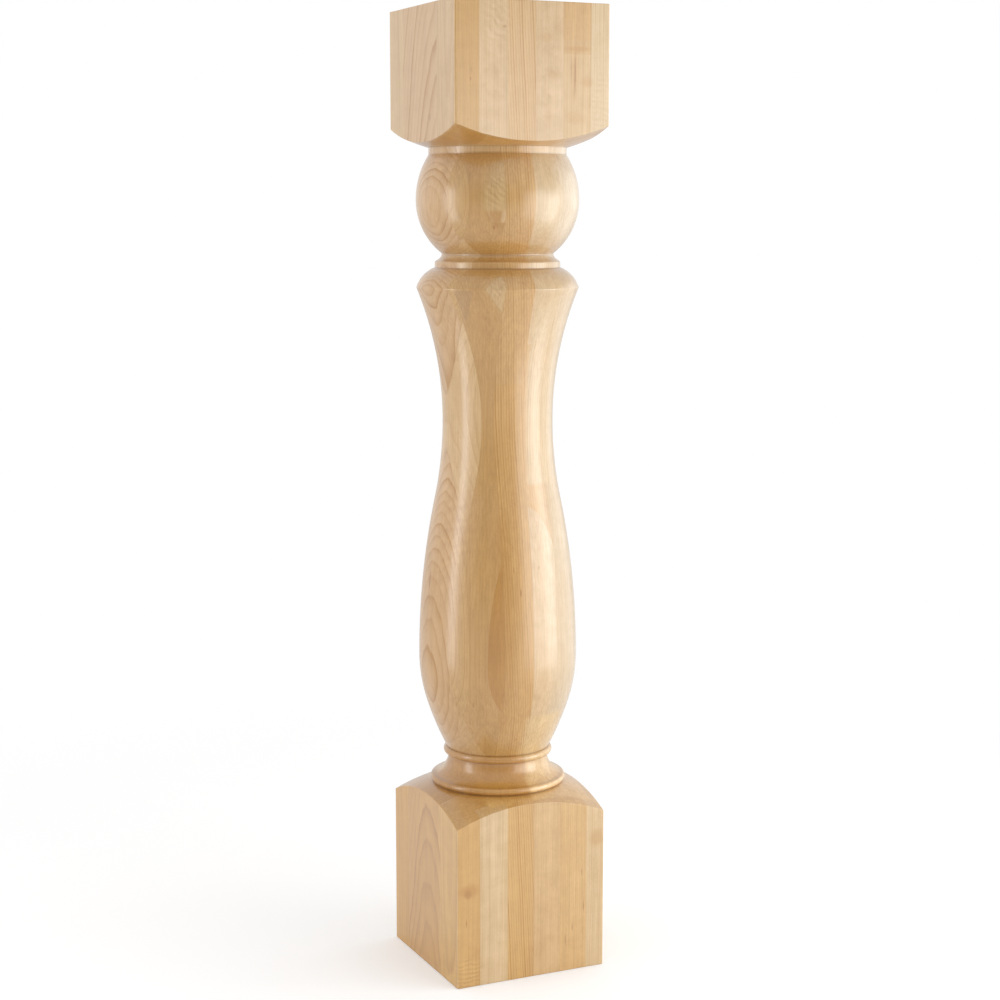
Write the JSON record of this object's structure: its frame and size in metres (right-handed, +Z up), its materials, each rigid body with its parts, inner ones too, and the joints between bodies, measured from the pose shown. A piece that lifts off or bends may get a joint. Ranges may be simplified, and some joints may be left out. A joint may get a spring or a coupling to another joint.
{
  "type": "turned wooden post",
  "caption": "Square hardwood post, turned between its two square end blocks with a ball, a ring and a long vase; stands on its flat foot and carries a worktop or table on its flat top.",
  "frame": {"origin": "middle of the flat bottom face", "axes": "+Z up the post along the turning axis; X and Y square to the faces of the end blocks, with the glue lines of the blank's thick layers square to X"},
  "size_m": [0.1524, 0.1524, 0.9017],
  "materials": {
    "maple": "pale laminated hardwood under a clear satin lacquer"
  },
  "bodies": {
    "root": {"post": "maple"}
  },
  "joints": []
}
